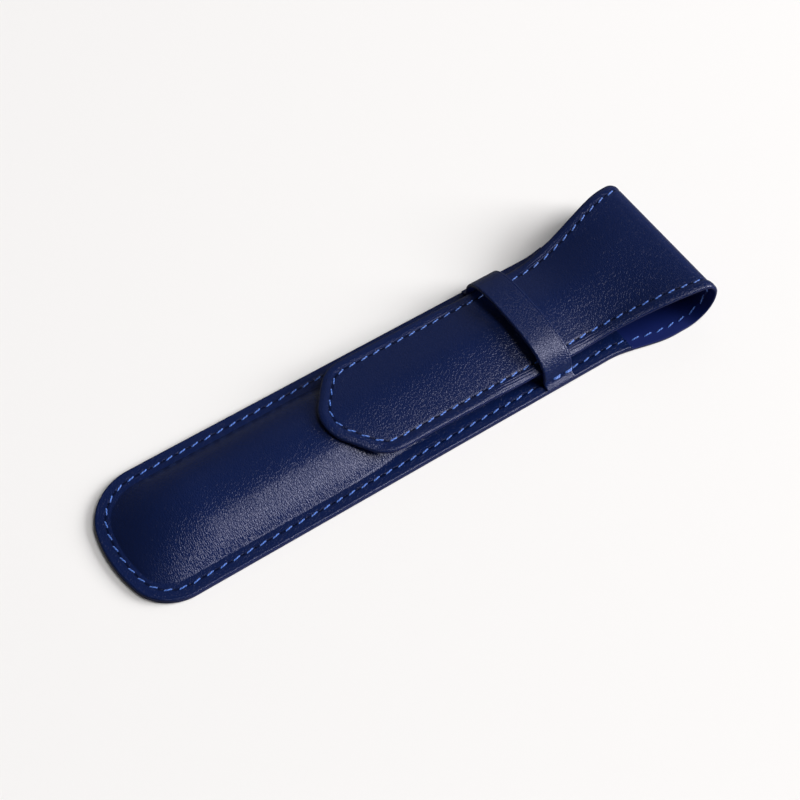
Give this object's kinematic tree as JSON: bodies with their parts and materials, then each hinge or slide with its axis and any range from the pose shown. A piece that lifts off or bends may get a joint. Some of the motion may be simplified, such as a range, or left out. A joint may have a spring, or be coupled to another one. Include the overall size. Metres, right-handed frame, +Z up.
{
  "type": "single pen sleeve",
  "caption": "Slim leather pen sleeve with a crowned pocket and a long stitched flap that folds over the mouth and tucks under a strap.",
  "frame": {"origin": "centre of the bounding box, on the flat underside of the back", "axes": "+X from the closed end towards the fold, +Y across the width, +Z up from the back to the flap"},
  "size_m": [0.1735, 0.0468, 0.0137],
  "materials": {
    "outer_leather": "fine pebbled grain, semi-gloss, navy",
    "lining_leather": "smooth thin lining, matt, dark navy",
    "thread": "waxed thread, bright blue, saddle stitched"
  },
  "bodies": {
    "sleeve": {"back_outer": "outer_leather", "back_lining": "lining_leather", "front_outer": "outer_leather", "front_lining": "lining_leather", "strap_outer": "outer_leather", "strap_lining": "lining_leather", "seam_thread": "thread", "strap_tack_thread": "thread", "mouth_extension_thread": "thread"},
    "fold_1": {"fold_1_outer": "outer_leather", "fold_1_lining": "lining_leather", "fold_1_thread": "thread"},
    "fold_2": {"fold_2_outer": "outer_leather", "fold_2_lining": "lining_leather", "fold_2_thread": "thread"},
    "fold_3": {"fold_3_outer": "outer_leather", "fold_3_lining": "lining_leather", "fold_3_thread": "thread"},
    "fold_4": {"fold_4_outer": "outer_leather", "fold_4_lining": "lining_leather", "fold_4_thread": "thread"},
    "fold_5": {"fold_5_outer": "outer_leather", "fold_5_lining": "lining_leather", "fold_5_thread": "thread"},
    "flap": {"flap_outer": "outer_leather", "flap_lining": "lining_leather", "flap_thread": "thread"}
  },
  "joints": [
    {"name": "fold_turn_1", "type": "hinge", "parent": "sleeve", "child": "fold_1", "pos_m": [0.07775, 0, 0.00055], "axis": [0, 1, 0], "range_deg": [0, 15]},
    {"name": "fold_turn_2", "type": "hinge", "parent": "fold_1", "child": "fold_2", "pos_m": [0.08198, 0, 0.00168], "axis": [0, 1, 0], "range_deg": [0, 30]},
    {"name": "fold_turn_3", "type": "hinge", "parent": "fold_2", "child": "fold_3", "pos_m": [0.08507, 0, 0.00477], "axis": [0, 1, 0], "range_deg": [0, 30]},
    {"name": "fold_turn_4", "type": "hinge", "parent": "fold_3", "child": "fold_4", "pos_m": [0.0862, 0, 0.009], "axis": [0, 1, 0], "range_deg": [0, 37.5]},
    {"name": "flap_open", "type": "hinge", "parent": "fold_4", "child": "fold_5", "pos_m": [0.08507, 0, 0.01172], "axis": [0, 1, 0], "range_deg": [0, 45]},
    {"name": "flap_turn", "type": "hinge", "parent": "fold_5", "child": "flap", "pos_m": [0.08235, 0, 0.01285], "axis": [0, 1, 0], "range_deg": [0, 22.5]}
  ],
  "couplings": [
    {"joint": "fold_turn_1", "follows": "flap_open", "ratio": 0.33333},
    {"joint": "fold_turn_2", "follows": "flap_open", "ratio": 0.66667},
    {"joint": "fold_turn_3", "follows": "flap_open", "ratio": 0.66667},
    {"joint": "fold_turn_4", "follows": "flap_open", "ratio": 0.83333},
    {"joint": "flap_turn", "follows": "flap_open", "ratio": 0.5}
  ]
}
